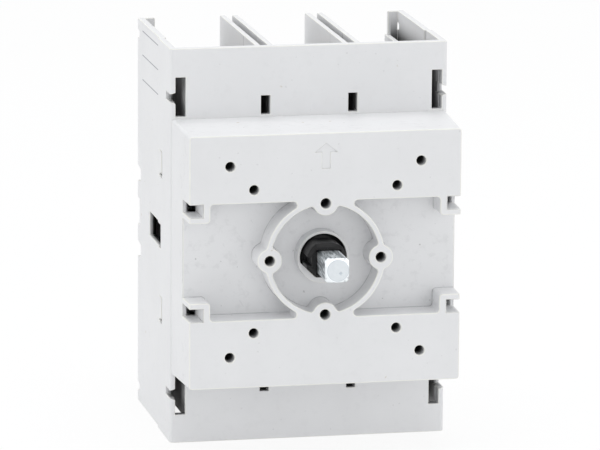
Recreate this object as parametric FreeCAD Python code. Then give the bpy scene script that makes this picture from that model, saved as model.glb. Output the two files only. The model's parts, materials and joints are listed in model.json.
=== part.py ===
import FreeCAD, Part
import math
import os

from FreeCAD import Vector

# Frame: X to the right, Z up, Y into the switch.
# The origin is on the shaft's axis, in the front mounting face.

# General fits
slide_gap = 0.3
seat_gap = 0.05
running_gap = 0.05
edge_round = 0.8
edge_chamfer = 0.4
past = 1.0

# Front cover
cover_half_height = 31.75
cover_draft = 2.0
cover_wall = 1.8
cover_side_step = 0.3
recess_half_height = 14.65
recess_depth = 7.7
recess_round = 0.9
ring_radius = 14.4
ring_wall = 1.35
ring_floor_rise = 1.2
boss_pitch_radius = 14.0
boss_radius = 3.1
boss_hole_radius = 1.3
outer_hole_pitch = 24.0
inner_hole_pitch = 18.0
fixing_hole_radius = 1.22
fixing_hole_depth = 11.0
fixing_post_half = 2.7
tab_length = 5.25
tab_bar = 1.85
tab_reach = 4.65
tab_lip = 1.5
tab_hole_width = 2.3
pocket_roof = 2.2

# Hooks that hold the cover to the body's front plate
cover_hook_z = 18.6
cover_hook_half_height = 2.0
cover_hook_arm = 1.4
cover_hook_barb = 0.6
cover_hook_length = 1.6
cover_hook_root = 6.0

# Collar round the hub
collar_front = 2.7
collar_bore_radius = 5.9
collar_wall = 0.6
collar_lip = 1.4
collar_flat = 4.95

# Body
body_half_height = 50.1
body_wall = 1.7
plate_thickness = 2.2
base_inset = 0.4
barrier_gap = 1.8
barrier_wall = 1.4
middle_pole_extra = 0.55
guide_wall = 1.3
guide_wall_height = 43.9
side_channel = 2.3
end_wall_z = 22.0
end_wall = 2.0
seam_offset = 5.05
rear_plate_thickness = 2.5
rear_plate_edge = 1.6
rear_lip = 2.6
rear_lip_thickness = 1.4

# Slots and notches of the front walls
slot_start = 0.5
outer_slot_length = 9.9
outer_slot_width = 2.55
outer_slot_wall = 1.35
middle_slot_length = 4.75
middle_slot_width = 2.3
side_notch_offset = 4.7
side_notch_inner = 1.65
side_notch_outer = 0.9
side_notch_depth = 5.6

# Windows and notches of the side walls
window_half_depth = 8.75
window_half_height = 3.05
side_hook_z = 18.7
side_hook_half_height = 3.2
side_hook_length = 3.6
rear_notch_z = 9.9
rear_notch_half_height = 1.4
rear_notch_depth = 4.6
end_notch_z = 46.2
end_notch_half_height = 0.6
end_notch_depth = 2.9
notch_flare = 0.8
rear_slot_half_height = 3.35

# Shaft and hub
shaft_square = 6.0
shaft_front = -13.7
shaft_corner = 0.6
shaft_nose_radius = 2.7
shaft_nose_slope = 0.45
hub_front = -4.0
hub_head_radius = 5.5
hub_head_top = 4.7
hub_head_bottom = 3.9
hub_head_side = 4.6
hub_head_corner = 4.85
hub_head_round = 3.8
hub_head_chamfer = 0.9
hub_notch_low = -0.6
hub_notch_high = 1.4
hub_notch_depth = 1.2
hub_neck_radius = 4.6
journal_reach = 1.9
bearing_wall = 1.5

# Rack and pinion
gear_module = 1.0
pinion_teeth = 10
pressure_angle = 25.0
tooth_addendum = 0.8
tooth_dedendum = 1.05
tooth_backlash = 0.36
pinion_width = 4.6
pinion_space = 1.7
rack_depth = 3.2
rack_teeth = 9
rack_end = 0.6
turn = 90.0

# Snap spring
snap_space = 4.1
snap_clearance = 1.0
snap_wire = 1.1

# Contact carrier and blades
contact_depth = 19.75
carrier_half_height = 2.75
carrier_wall = 2.0
carrier_edge = 0.4
carrier_rib_depth = 1.6
carrier_ribs = 6
horn_half_width = 1.5
fork_wall = 1.5
fork_gap = 3.3
fork_base_thickness = 2.6
fork_length = 5.0
contact_thickness = 2.0
contact_corner = 1.2
finger_width = 5.4
finger_tip_z = 7.5
tongue_margin = 0.4
tongue_root = 2.5
blade_thickness = 1.2
blade_overlap = 5.5
leaf_half_length = 8.0
leaf_flat = 3.0
leaf_thickness = 0.5
leaf_width = 4.2

# Terminals
cage_half_width = 7.9
cage_side_gap = 0.35
cage_side_wall = 1.5
cage_floor = 2.0
cage_top = 3.5
cage_space = 3.4
cage_length = 11.0
cable_space = 10.0
cage_travel = 8.0
screw_radius = 3.0
head_radius = 4.4
head_length = 4.8
driver_hole_radius = 3.7
driver_post_wall = 1.5
driver_post_length = 6.5

# What follows from the sizes, front to back
ring_inner = ring_radius - ring_wall / 2
ring_outer = ring_inner + ring_wall
ring_floor = recess_depth - ring_floor_rise
recess_back = recess_depth + cover_wall
shaft_rear = recess_back
pinion_front = recess_back + slide_gap + snap_space + slide_gap
pinion_rear = pinion_front + pinion_width
plate_front = pinion_rear + pinion_space
plate_rear = plate_front + plate_thickness
contact_y = plate_rear + contact_depth
tongue_front = contact_y - contact_thickness / 2
tongue_rear = contact_y + contact_thickness / 2
window_front = contact_y - window_half_depth
window_rear = contact_y + window_half_depth
carrier_front = window_front + slide_gap
carrier_rear = window_rear - slide_gap
seam_y = contact_y - seam_offset
fork_front = plate_rear + fork_gap
fork_floor = fork_front + fork_base_thickness
screw_head_front = tongue_rear + slide_gap + cage_top + cage_travel + slide_gap
screw_head_rear = screw_head_front + head_length
rear_plate_rear = screw_head_rear + slide_gap + driver_post_length
rear_plate_front = rear_plate_rear - rear_plate_thickness
body_rear = rear_plate_rear + seat_gap + rear_lip_thickness

# What follows from the sizes, middle to side
chamber_half_width = cage_half_width + cage_side_gap
barrier_inner = chamber_half_width + middle_pole_extra
barrier_outer = barrier_inner + 2 * barrier_wall + barrier_gap
pole_pitch = barrier_outer + chamber_half_width
poles = (-pole_pitch, 0.0, pole_pitch)
guide_wall_inner = pole_pitch + chamber_half_width
guide_wall_outer = guide_wall_inner + guide_wall
housing_inside = guide_wall_outer + side_channel
body_half_width = housing_inside + body_wall
base_half_width = body_half_width - base_inset
base_inside = base_half_width - body_wall
cover_slope = math.tan(math.radians(cover_draft))
cover_rear_half_width = body_half_width - cover_side_step
cover_half_width = cover_rear_half_width - plate_front * cover_slope
cover_rear_half_height = cover_half_height + plate_front * cover_slope
cover_inside = cover_half_width - cover_wall
tab_inner = cover_half_width - tab_length
tab_low = recess_half_height - tab_reach
tongue_half_width = cage_half_width - cage_side_wall - tongue_margin

# What follows from the sizes, middle to end
cage_start = end_wall_z + end_wall + cage_space
cage_end = cage_start + cage_length
screw_z = (cage_start + cage_end) / 2
slot_low = cover_rear_half_height + slot_start
rear_plate_height = screw_z + driver_hole_radius + driver_post_wall + rear_plate_edge
blade_half_length = finger_tip_z + blade_overlap

# Gearing and strokes
pitch_radius = gear_module * pinion_teeth / 2
stroke = pitch_radius * math.radians(turn)
pinion_root = pitch_radius - tooth_dedendum * gear_module
pinion_tip = pitch_radius + tooth_addendum * gear_module
rack_root = -(pitch_radius + tooth_dedendum * gear_module)
rack_tip = -(pitch_radius - tooth_addendum * gear_module)
rack_low = rack_root - rack_depth
rib_top = rack_low - slide_gap
fork_half_width = horn_half_width + seat_gap + fork_wall
blade_shift = stroke - tongue_half_width + finger_width / 2
blade_inner = contact_thickness / 2 + slide_gap
blade_outer = blade_inner + blade_thickness


def box(x0, x1, y0, y1, z0, z1):
    """A block between two corners."""
    return Part.makeBox(x1 - x0, y1 - y0, z1 - z0, Vector(x0, y0, z0))


def rod(x, z, radius, y0, y1):
    """A round bar along Y."""
    return Part.makeCylinder(radius, y1 - y0, Vector(x, y0, z), Vector(0, 1, 0))


def mirror_x(shape):
    """The same shape on the other side of the shaft."""
    return shape.mirror(Vector(0, 0, 0), Vector(1, 0, 0))


def mirror_z(shape):
    """The same shape at the other end of the switch."""
    return shape.mirror(Vector(0, 0, 0), Vector(0, 0, 1))


def four_ways(shape):
    """A shape repeated left and right, at the top and at the bottom."""
    pair = [shape, mirror_x(shape)]
    return pair + [mirror_z(s) for s in pair]


def quarter_turns(shape):
    """A shape repeated four times round the shaft."""
    turned = [shape.copy() for _ in range(4)]
    for index, copy in enumerate(turned):
        copy.rotate(Vector(0, 0, 0), Vector(0, 1, 0), index * 90)
    return turned


def picked_edges(shape, pick):
    """The edges whose middle point and direction the test accepts."""
    edges = []
    for edge in shape.Edges:
        middle = edge.valueAt((edge.FirstParameter + edge.LastParameter) / 2)
        ends = edge.valueAt(edge.LastParameter) - edge.valueAt(edge.FirstParameter)
        if pick(middle, ends):
            edges.append(edge)
    return edges


def round_edges(shape, radius, pick):
    """Rounds the edges that the test accepts."""
    return shape.makeFillet(radius, picked_edges(shape, pick))


def bevel_edges(shape, size, pick):
    """Bevels the edges that the test accepts."""
    return shape.makeChamfer(size, picked_edges(shape, pick))


def along_y(ends):
    """True for an edge that runs along Y, or nearly so on a drafted side."""
    return abs(ends.y) > 10 * math.hypot(ends.x, ends.z)


def polygon_prism(points, direction):
    """A flat outline pushed along a direction."""
    wire = Part.makePolygon(points + points[:1])
    return Part.Face(wire).extrude(direction)


def export(name, shape):
    """Writes one node as a STEP file."""
    shape.exportStep("parts/" + name + ".step")


def half_cover_recess():
    """The space left of the ring that is cut from the cover's front."""
    edge = cover_rear_half_width + past
    side = box(-edge, 0, -past, recess_depth, -recess_half_height, recess_half_height)
    side = side.cut(rod(0, 0, ring_outer, -2 * past, recess_depth + past))
    side = side.cut(rod(-boss_pitch_radius, 0, boss_radius, -2 * past, recess_depth + past))
    tab = box(-edge - past, -tab_inner, -2 * past, recess_depth + past, tab_low, recess_half_height + past)
    side = side.cut(tab).cut(mirror_z(tab))
    return round_edges(side, recess_round, lambda m, e: along_y(e) and abs(m.x) < cover_half_width)


def ring_dish():
    """The space inside the ring, round its four bosses and the collar."""
    dish = rod(0, 0, ring_inner, -past, ring_floor)
    for boss in quarter_turns(rod(0, boss_pitch_radius, boss_radius, -2 * past, ring_floor + past)):
        dish = dish.cut(boss)
    dish = round_edges(dish, recess_round,
                       lambda m, e: along_y(e) and math.hypot(m.x, m.z) > ring_inner - recess_round)
    return dish.cut(rod(0, 0, collar_bore_radius + collar_wall, collar_front, ring_floor + past))


def hollow_of_cover():
    """The space behind the cover's walls; the posts of the fixing holes and the rack's guide rib stay."""
    inside_z = cover_half_height - cover_wall
    hollow = box(-cover_inside, cover_inside, recess_back, plate_front + past, -inside_z, inside_z)
    pocket = box(-cover_inside, cover_inside, pocket_roof, recess_back + past,
                 recess_half_height + cover_wall, inside_z)
    pocket = pocket.cut(rod(0, boss_pitch_radius, boss_radius + cover_wall, 0, recess_back + past))
    hollow = hollow.fuse(pocket).fuse(mirror_z(pocket))
    for pitch in (outer_hole_pitch, inner_hole_pitch):
        low, high = pitch - fixing_post_half, pitch + fixing_post_half
        for post in four_ways(box(low, high, 0, fixing_hole_depth + cover_wall, low, high)):
            hollow = hollow.cut(post)
    rib = box(-cover_inside, cover_inside, recess_depth, plate_front, rib_top - cover_wall, rib_top)
    return hollow.cut(rib)


def cover_hook():
    """One hook of the cover, that snaps through a slot of the body's front plate."""
    low, high = cover_hook_z - cover_hook_half_height, cover_hook_z + cover_hook_half_height
    arm = box(cover_inside - cover_hook_arm, cover_inside, plate_front - cover_hook_root,
              plate_rear + seat_gap + cover_hook_length, low, high)
    barb = polygon_prism([Vector(cover_inside, plate_rear + seat_gap, low),
                          Vector(cover_inside + cover_hook_barb, plate_rear + seat_gap, low),
                          Vector(cover_inside, plate_rear + seat_gap + cover_hook_length, low)],
                         Vector(0, 0, high - low))
    return arm.fuse(barb)


def make_front_cover():
    """The moulded cover with its blocks, ring, bosses, collar, corner tabs and hooks."""
    cover = Part.makeWedge(-cover_half_width, 0, -cover_half_height, -cover_rear_half_height,
                           -cover_rear_half_width, cover_half_width, plate_front, cover_half_height,
                           cover_rear_half_height, cover_rear_half_width)
    cover = round_edges(cover, edge_round, lambda m, e: along_y(e))

    recess = half_cover_recess()
    cover = cover.cut(recess).cut(mirror_x(recess)).cut(ring_dish())

    bar_outer = tab_inner + tab_bar
    tab_slot = box(bar_outer, cover_rear_half_width + past, -past, recess_depth,
                   tab_low + tab_lip, recess_half_height)
    tab_hole = box(bar_outer + slide_gap, bar_outer + slide_gap + tab_hole_width, 0, recess_back + past,
                   tab_low + tab_lip, recess_half_height)
    for cut in four_ways(tab_slot.fuse(tab_hole)):
        cover = cover.cut(cut)
    cover = cover.cut(hollow_of_cover())

    lip_rear = collar_front + collar_lip
    bore = rod(0, 0, collar_bore_radius, lip_rear, plate_front)
    mouth = rod(0, 0, collar_bore_radius, collar_front - past, lip_rear)
    flat = box(-ring_inner, ring_inner, collar_front - past, lip_rear, -ring_inner, -collar_flat)
    corner = flat.copy()
    corner.rotate(Vector(0, 0, 0), Vector(0, 1, 0), 45)
    cover = cover.cut(bore).cut(mouth.cut(flat.fuse(corner)))

    for pitch in (outer_hole_pitch, inner_hole_pitch):
        for hole in four_ways(rod(pitch, pitch, fixing_hole_radius, -past, fixing_hole_depth)):
            cover = cover.cut(hole)
    for hole in quarter_turns(rod(0, boss_pitch_radius, boss_hole_radius, -past, recess_depth)):
        cover = cover.cut(hole)
    return cover.fuse(four_ways(cover_hook())).removeSplitter()


def carrier_slot():
    """The clearance for the sliding contact carrier through the walls that stand across it."""
    reach = body_half_width + past
    return box(-reach, reach, window_front, window_rear, -window_half_height, window_half_height)


def barriers(y0, y1):
    """The pairs of walls between the poles."""
    walls = []
    for x0 in (barrier_inner, barrier_outer - barrier_wall):
        wall = box(x0, x0 + barrier_wall, y0, y1, -body_half_height, body_half_height)
        walls += [wall, mirror_x(wall)]
    return walls


def plate_slots():
    """The slots and the side notch of one corner of the body's front plate."""
    front, rear = plate_front - past, plate_rear + past
    outer = housing_inside + body_wall - outer_slot_wall
    slot = box(outer - outer_slot_width, outer, front, rear, slot_low, slot_low + outer_slot_length)
    centre = (barrier_inner + barrier_outer) / 2
    middle = box(centre - middle_slot_width / 2, centre + middle_slot_width / 2, front, rear,
                 slot_low, slot_low + middle_slot_length)
    z = slot_low + side_notch_offset
    notch = polygon_prism([Vector(outer - body_wall / 2, front, z - side_notch_inner),
                           Vector(outer - body_wall / 2, front, z + side_notch_inner),
                           Vector(body_half_width + seat_gap, front, z + side_notch_outer),
                           Vector(body_half_width + seat_gap, front, z - side_notch_outer)],
                          Vector(0, side_notch_depth + past, 0))
    return slot.fuse(middle).fuse(notch)


def make_contact_housing():
    """The front half of the body: front plate, side walls, barriers, end walls, slots and shaft bearing."""
    body = box(-body_half_width, body_half_width, plate_front, seam_y, -body_half_height, body_half_height)
    body = round_edges(body, edge_round, lambda m, e: abs(m.y - plate_front) < past
                       and abs(m.x) > body_half_width - past)
    inner = box(-housing_inside, housing_inside, plate_rear, seam_y + past,
                -body_half_height - past, body_half_height + past)
    end = box(-housing_inside, housing_inside, plate_rear, seam_y, end_wall_z, end_wall_z + end_wall)
    guide = box(guide_wall_inner, guide_wall_outer, plate_rear, seam_y, end_wall_z, guide_wall_height)
    for wall in barriers(plate_rear, seam_y) + [end, mirror_z(end)] + four_ways(guide):
        inner = inner.cut(wall)
    body = body.cut(inner)
    teeth = [box(x - tongue_half_width, x + tongue_half_width, seam_y, tongue_front - seat_gap,
                 end_wall_z, end_wall_z + end_wall) for x in poles]
    body = body.fuse(teeth + [mirror_z(tooth) for tooth in teeth])

    for cut in four_ways(plate_slots()) + [carrier_slot()]:
        body = body.cut(cut)
    side = box(housing_inside - past, body_half_width + past, seam_y - side_hook_length, seam_y + past,
               side_hook_z - side_hook_half_height, side_hook_z + side_hook_half_height)
    hook_slot = box(cover_inside - cover_hook_arm - seat_gap, cover_inside + cover_hook_barb + seat_gap,
                    plate_front - past, plate_rear + past, cover_hook_z - cover_hook_half_height - seat_gap,
                    cover_hook_z + cover_hook_half_height + seat_gap)
    for cut in four_ways(side) + four_ways(hook_slot):
        body = body.cut(cut)

    bore = pinion_root + running_gap
    block = bore + bearing_wall
    bearing = box(-block, block, pinion_rear + slide_gap, plate_rear + journal_reach, -block, block)
    body = body.fuse(bearing).cut(rod(0, 0, bore, pinion_rear, seam_y))
    half_slot = stroke / 2 + fork_half_width + slide_gap
    body = body.cut(box(-half_slot, half_slot, plate_front - past, plate_rear + past,
                        rack_low - slide_gap, rack_root))
    return body.removeSplitter()


def make_terminal_base():
    """The rear half of the body, open at the rear and at both ends."""
    body = box(-base_half_width, base_half_width, seam_y, body_rear, -body_half_height, body_half_height)
    body = bevel_edges(body, edge_chamfer, lambda m, e: abs(m.y - body_rear) < past)
    inner = box(-base_inside, base_inside, seam_y - past, body_rear + past,
                -body_half_height - past, body_half_height + past)
    end = box(-base_inside, base_inside, seam_y, body_rear, end_wall_z, end_wall_z + end_wall)
    for x in poles:
        end = end.cut(box(x - tongue_half_width - slide_gap, x + tongue_half_width + slide_gap,
                          seam_y - past, tongue_rear, end_wall_z - past, end_wall_z + end_wall + past))
    guide = box(guide_wall_inner, guide_wall_outer, seam_y, body_rear, end_wall_z, guide_wall_height)
    lip = box(base_inside - rear_lip, base_inside + seat_gap, body_rear - rear_lip_thickness, body_rear,
              end_wall_z, body_half_height)
    walls = barriers(seam_y, body_rear) + [end, mirror_z(end)] + four_ways(guide)
    plate_seat = box(-base_inside, base_inside, rear_plate_front - seat_gap, body_rear + past,
                     -rear_plate_height - seat_gap, rear_plate_height + seat_gap)
    for wall in walls:
        inner = inner.cut(wall.cut(plate_seat))
    for wall in four_ways(lip):
        inner = inner.cut(wall)
    body = body.cut(inner).cut(carrier_slot())

    hook = box(housing_inside + slide_gap, base_half_width, seam_y - side_hook_length + slide_gap,
               seam_y + seat_gap, side_hook_z - side_hook_half_height + slide_gap,
               side_hook_z + side_hook_half_height - slide_gap)
    body = body.fuse(four_ways(hook))
    for z, half, depth in ((rear_notch_z, rear_notch_half_height, rear_notch_depth),
                           (end_notch_z, end_notch_half_height, end_notch_depth)):
        notch = polygon_prism([Vector(base_inside - seat_gap, body_rear - depth, z - half),
                               Vector(base_inside - seat_gap, body_rear - depth, z + half),
                               Vector(base_inside - seat_gap, body_rear + past, z + half + notch_flare),
                               Vector(base_inside - seat_gap, body_rear + past, z - half - notch_flare)],
                              Vector(body_wall + past, 0, 0))
        for cut in four_ways(notch):
            body = body.cut(cut)
    slot = box(base_inside + body_wall / 2, base_half_width + past, body_rear - end_notch_depth,
               body_rear + past, -rear_slot_half_height, rear_slot_half_height)
    return body.cut(slot).cut(mirror_x(slot)).removeSplitter()


def make_rear_plate():
    """The plate that closes the rear, held by the base's lips, with a post round each driver hole."""
    half_width = base_inside - seat_gap
    plate = box(-half_width, half_width, rear_plate_front, rear_plate_rear,
                -rear_plate_height, rear_plate_height)
    half_post = driver_hole_radius + driver_post_wall
    for x in poles:
        post = box(x - half_post, x + half_post, screw_head_rear + slide_gap, rear_plate_rear,
                   screw_z - half_post, screw_z + half_post)
        plate = plate.fuse([post, mirror_z(post)])
        hole = rod(x, screw_z, driver_hole_radius, screw_head_rear, rear_plate_rear + past)
        plate = plate.cut(hole).cut(mirror_z(hole))
    return plate.removeSplitter()


def make_shaft():
    """The plated square shaft with a turned nose."""
    half = shaft_square / 2
    bar = box(-half, half, shaft_front, shaft_rear, -half, half)
    bar = bevel_edges(bar, shaft_corner, lambda m, e: along_y(e))
    reach = half * math.sqrt(2) + past
    shoulder = shaft_front + shaft_nose_slope * (reach - shaft_nose_radius)
    nose = Part.makePolygon([Vector(0, shaft_front, 0), Vector(shaft_nose_radius, shaft_front, 0),
                             Vector(reach, shoulder, 0), Vector(reach, shaft_rear + past, 0),
                             Vector(0, shaft_rear + past, 0), Vector(0, shaft_front, 0)])
    return bar.common(Part.Face(nose).revolve(Vector(0, 0, 0), Vector(0, 1, 0), 360))


def make_pinion():
    """A pinion with one tooth pointing down, its flanks arcs through three points of the involute."""
    half_thickness = math.pi / pinion_teeth / 2 - tooth_backlash / 4 / pitch_radius
    base = pitch_radius * math.cos(math.radians(pressure_angle))

    def involute(radius):
        alpha = math.acos(min(1.0, base / radius))
        return math.tan(alpha) - alpha

    def point(radius, side):
        angle = half_thickness + involute(pitch_radius) - involute(radius)
        return Vector(side * radius * math.sin(angle), pinion_front, -radius * math.cos(angle))

    low = [point(base, s) for s in (-1, 1)]
    inside = (pinion_root - slide_gap) / base
    foot = [Vector(p.x * inside, p.y, p.z * inside) for p in low]
    middle = [point((base + pinion_tip) / 2, s) for s in (-1, 1)]
    high = [point(pinion_tip, s) for s in (-1, 1)]
    edges = [Part.LineSegment(foot[0], low[0]).toShape(), Part.Arc(low[0], middle[0], high[0]).toShape(),
             Part.LineSegment(high[0], high[1]).toShape(),
             Part.Arc(high[1], middle[1], low[1]).toShape(), Part.LineSegment(low[1], foot[1]).toShape(),
             Part.LineSegment(foot[1], foot[0]).toShape()]
    tooth = Part.Face(Part.Wire(edges)).extrude(Vector(0, pinion_width, 0))
    gear = rod(0, 0, pinion_root, pinion_front, plate_rear + journal_reach)
    for index in range(pinion_teeth):
        turned = tooth.copy()
        turned.rotate(Vector(0, 0, 0), Vector(0, 1, 0), index * 360 / pinion_teeth)
        gear = gear.fuse(turned)
    return gear


def hub_head(rear):
    """The hub's head: a drum with flats, a bevelled front and a notch in its left side."""
    wide = hub_head_radius + past
    drum = rod(0, 0, hub_head_radius, hub_front, rear)
    flats = box(-wide, hub_head_side, hub_front, rear, -hub_head_bottom, hub_head_top)
    flats = round_edges(flats, hub_head_round, lambda m, e: along_y(e) and m.x > 0 and m.z > 0)
    corner = box(-wide, wide, hub_front, rear, -hub_head_corner, 2 * wide)
    drum, flats, corner = [bevel_edges(shape, hub_head_chamfer, lambda m, e: abs(m.y - hub_front) < 0.01)
                           for shape in (drum, flats, corner)]
    corner.rotate(Vector(0, 0, 0), Vector(0, 1, 0), 45)
    notch = box(-wide, hub_notch_depth - hub_head_radius, hub_front - past, rear + past,
                hub_notch_low, hub_notch_high)
    return drum.common(flats).common(corner).cut(notch)


def make_hub():
    """The black hub: head, neck, drum, pinion and rear journal."""
    head_rear = collar_front - slide_gap
    lip_rear = collar_front + collar_lip + slide_gap
    hub = hub_head(head_rear).fuse([rod(0, 0, hub_neck_radius, head_rear, lip_rear),
                                    rod(0, 0, collar_bore_radius - running_gap, lip_rear, pinion_front),
                                    make_pinion()])
    half = shaft_square / 2 + seat_gap
    socket = box(-half, half, hub_front - past, shaft_rear + seat_gap, -half, half)
    return hub.cut(socket).removeSplitter()


def make_rack():
    """The slide with the rack, its arm through the plate and the fork that holds the carrier's horn."""
    pitch = math.pi * gear_module
    centre = stroke / 2
    half_length = rack_teeth * pitch / 2 + rack_end
    half_base = (pitch - tooth_backlash) / 4
    slope = math.tan(math.radians(pressure_angle))
    wide = half_base + tooth_dedendum * gear_module * slope
    narrow = half_base - tooth_addendum * gear_module * slope
    body = box(centre - half_length, centre + half_length, pinion_front, plate_front - slide_gap,
               rack_low, rack_root)
    first = round((centre - half_length) / pitch) + 0.5
    for index in range(rack_teeth):
        x = (first + index) * pitch
        tooth = polygon_prism([Vector(x - wide, pinion_front, rack_root),
                               Vector(x + wide, pinion_front, rack_root),
                               Vector(x + narrow, pinion_front, rack_tip),
                               Vector(x - narrow, pinion_front, rack_tip)], Vector(0, pinion_width, 0))
        body = body.fuse(tooth)
    left, right = centre - fork_half_width, centre + fork_half_width
    arm = box(left, right, plate_front - slide_gap, fork_floor, rack_low, rack_root - slide_gap)
    foot = box(left, right, fork_front, fork_floor, rack_low, carrier_half_height)
    prongs = box(left, right, fork_floor, fork_floor + fork_length,
                 -carrier_half_height, carrier_half_height)
    gap = box(left + fork_wall, right - fork_wall, fork_floor, fork_floor + fork_length + past,
              -carrier_half_height - past, carrier_half_height + past)
    return body.fuse([arm, foot, prongs.cut(gap)]).removeSplitter()


def make_carrier():
    """The black slider with a window for the blades of each pole and ribbed ends."""
    centre = stroke / 2
    half_length = base_half_width - 2 * slide_gap - centre
    left, right = centre - half_length, centre + half_length
    body = box(left, right, carrier_front, carrier_rear, -carrier_half_height, carrier_half_height)
    body = bevel_edges(body, carrier_edge, lambda m, e: along_y(e))
    horn = box(centre - horn_half_width, centre + horn_half_width, fork_floor + slide_gap, carrier_front,
               -carrier_half_height, carrier_half_height)
    body = body.fuse(horn)
    half = finger_width / 2 + slide_gap
    tall = carrier_half_height + past
    for x in poles:
        middle = x + blade_shift
        body = body.cut(box(middle - half, middle + half, carrier_front + carrier_wall,
                            carrier_rear - carrier_wall, -tall, tall))
    rib_pitch = (carrier_rear - carrier_front) / carrier_ribs
    for index in range(1, carrier_ribs):
        y = carrier_front + index * rib_pitch
        for x0, x1 in ((left - past, left + carrier_rib_depth), (right - carrier_rib_depth, right + past)):
            body = body.cut(box(x0, x1, y - rib_pitch / 4, y + rib_pitch / 4, -tall, tall))
    return body.removeSplitter()


def make_blade(x, side):
    """One flat contact blade with bevelled corners, so that it slides onto the fixed contacts."""
    middle = x + blade_shift
    y0, y1 = sorted((contact_y + side * blade_inner, contact_y + side * blade_outer))
    blade = box(middle - finger_width / 2, middle + finger_width / 2, y0, y1,
                -blade_half_length, blade_half_length)
    return bevel_edges(blade, contact_corner, lambda m, e: along_y(e))


def make_leaf(x, side):
    """A bent leaf spring from the carrier's wall to the ends of a blade."""
    near = contact_y + side * (blade_outer + seat_gap)
    far = contact_y + side * (window_half_depth - slide_gap - carrier_wall - seat_gap)
    step = side * leaf_thickness
    flat, end = leaf_flat, leaf_half_length
    outline = [(near, -end), (far - step, -flat), (far - step, flat), (near, end),
               (near + step, end), (far, flat), (far, -flat), (near + step, -end)]
    left = x + blade_shift - leaf_width / 2
    return polygon_prism([Vector(left, y, z) for y, z in outline], Vector(leaf_width, 0, 0))


def make_fixed_contact(x):
    """A stamped contact: a finger in the arc chamber and a broad tongue in the terminal."""
    left = x - tongue_half_width
    finger = box(left, left + finger_width, tongue_front, tongue_rear, finger_tip_z, end_wall_z)
    tongue = box(left, x + tongue_half_width, tongue_front, tongue_rear, end_wall_z - tongue_root, cage_end)
    contact = finger.fuse(tongue).removeSplitter()
    root = end_wall_z - 2 * tongue_root
    return bevel_edges(contact, contact_corner,
                       lambda m, e: along_y(e) and not root < m.z < end_wall_z)


def make_cage(x):
    """The clamp cage, lowered to take a cable."""
    low = tongue_front - cable_space - cage_floor
    high = tongue_rear + slide_gap + cage_top
    cage = box(x - cage_half_width, x + cage_half_width, low, high, cage_start, cage_end)
    inner = cage_half_width - cage_side_wall
    cage = cage.cut(box(x - inner, x + inner, low + cage_floor, high - cage_top,
                        cage_start - past, cage_end + past))
    return cage.cut(rod(x, screw_z, screw_radius + running_gap, high - cage_top - past, high + past))


def make_terminal_screw(x):
    """A terminal screw with a cylindrical head that faces the rear."""
    shank = rod(x, screw_z, screw_radius, tongue_rear + slide_gap, screw_head_front)
    return shank.fuse(rod(x, screw_z, head_radius, screw_head_front, screw_head_rear)).removeSplitter()


def make_snap_spring():
    """The hairpin spring over the hub's drum, with both legs down on the cover's guide rib."""
    front = recess_back + slide_gap + (snap_space - snap_wire) / 2
    inner = collar_bore_radius + snap_clearance
    outer = inner + snap_wire
    rear = front + snap_wire
    hoop = rod(0, 0, outer, front, rear).cut(rod(0, 0, inner, front - past, rear + past))
    hoop = hoop.cut(box(-outer - past, outer + past, front - past, rear + past, -outer - past, 0))
    leg = box(inner, outer, front, rear, rib_top + seat_gap, 0)
    return hoop.fuse([leg, mirror_x(leg)]).removeSplitter()


def main():
    """Builds every node."""
    os.makedirs("parts", exist_ok=True)
    export("front_cover", make_front_cover())
    export("contact_housing", make_contact_housing())
    export("terminal_base", make_terminal_base())
    export("rear_plate", make_rear_plate())
    export("drive_shaft", make_shaft())
    export("drive_hub", make_hub())
    export("rack_slide", make_rack())
    export("contact_carrier", make_carrier())
    export("snap_spring", make_snap_spring())
    for number, x in enumerate(poles, 1):
        for name, side in (("front", -1), ("rear", 1)):
            export(f"blade_{number}_{name}", make_blade(x, side))
            export(f"leaf_spring_{number}_{name}", make_leaf(x, side))
        contact, cage, screw = make_fixed_contact(x), make_cage(x), make_terminal_screw(x)
        export(f"line_contact_{number}", contact)
        export(f"load_contact_{number}", mirror_z(contact))
        export(f"line_cage_{number}", cage)
        export(f"load_cage_{number}", mirror_z(cage))
        export(f"line_screw_{number}", screw)
        export(f"load_screw_{number}", mirror_z(screw))


main()
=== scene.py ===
import json
import math

import bmesh
import bpy
from mathutils import Matrix, Vector

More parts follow.
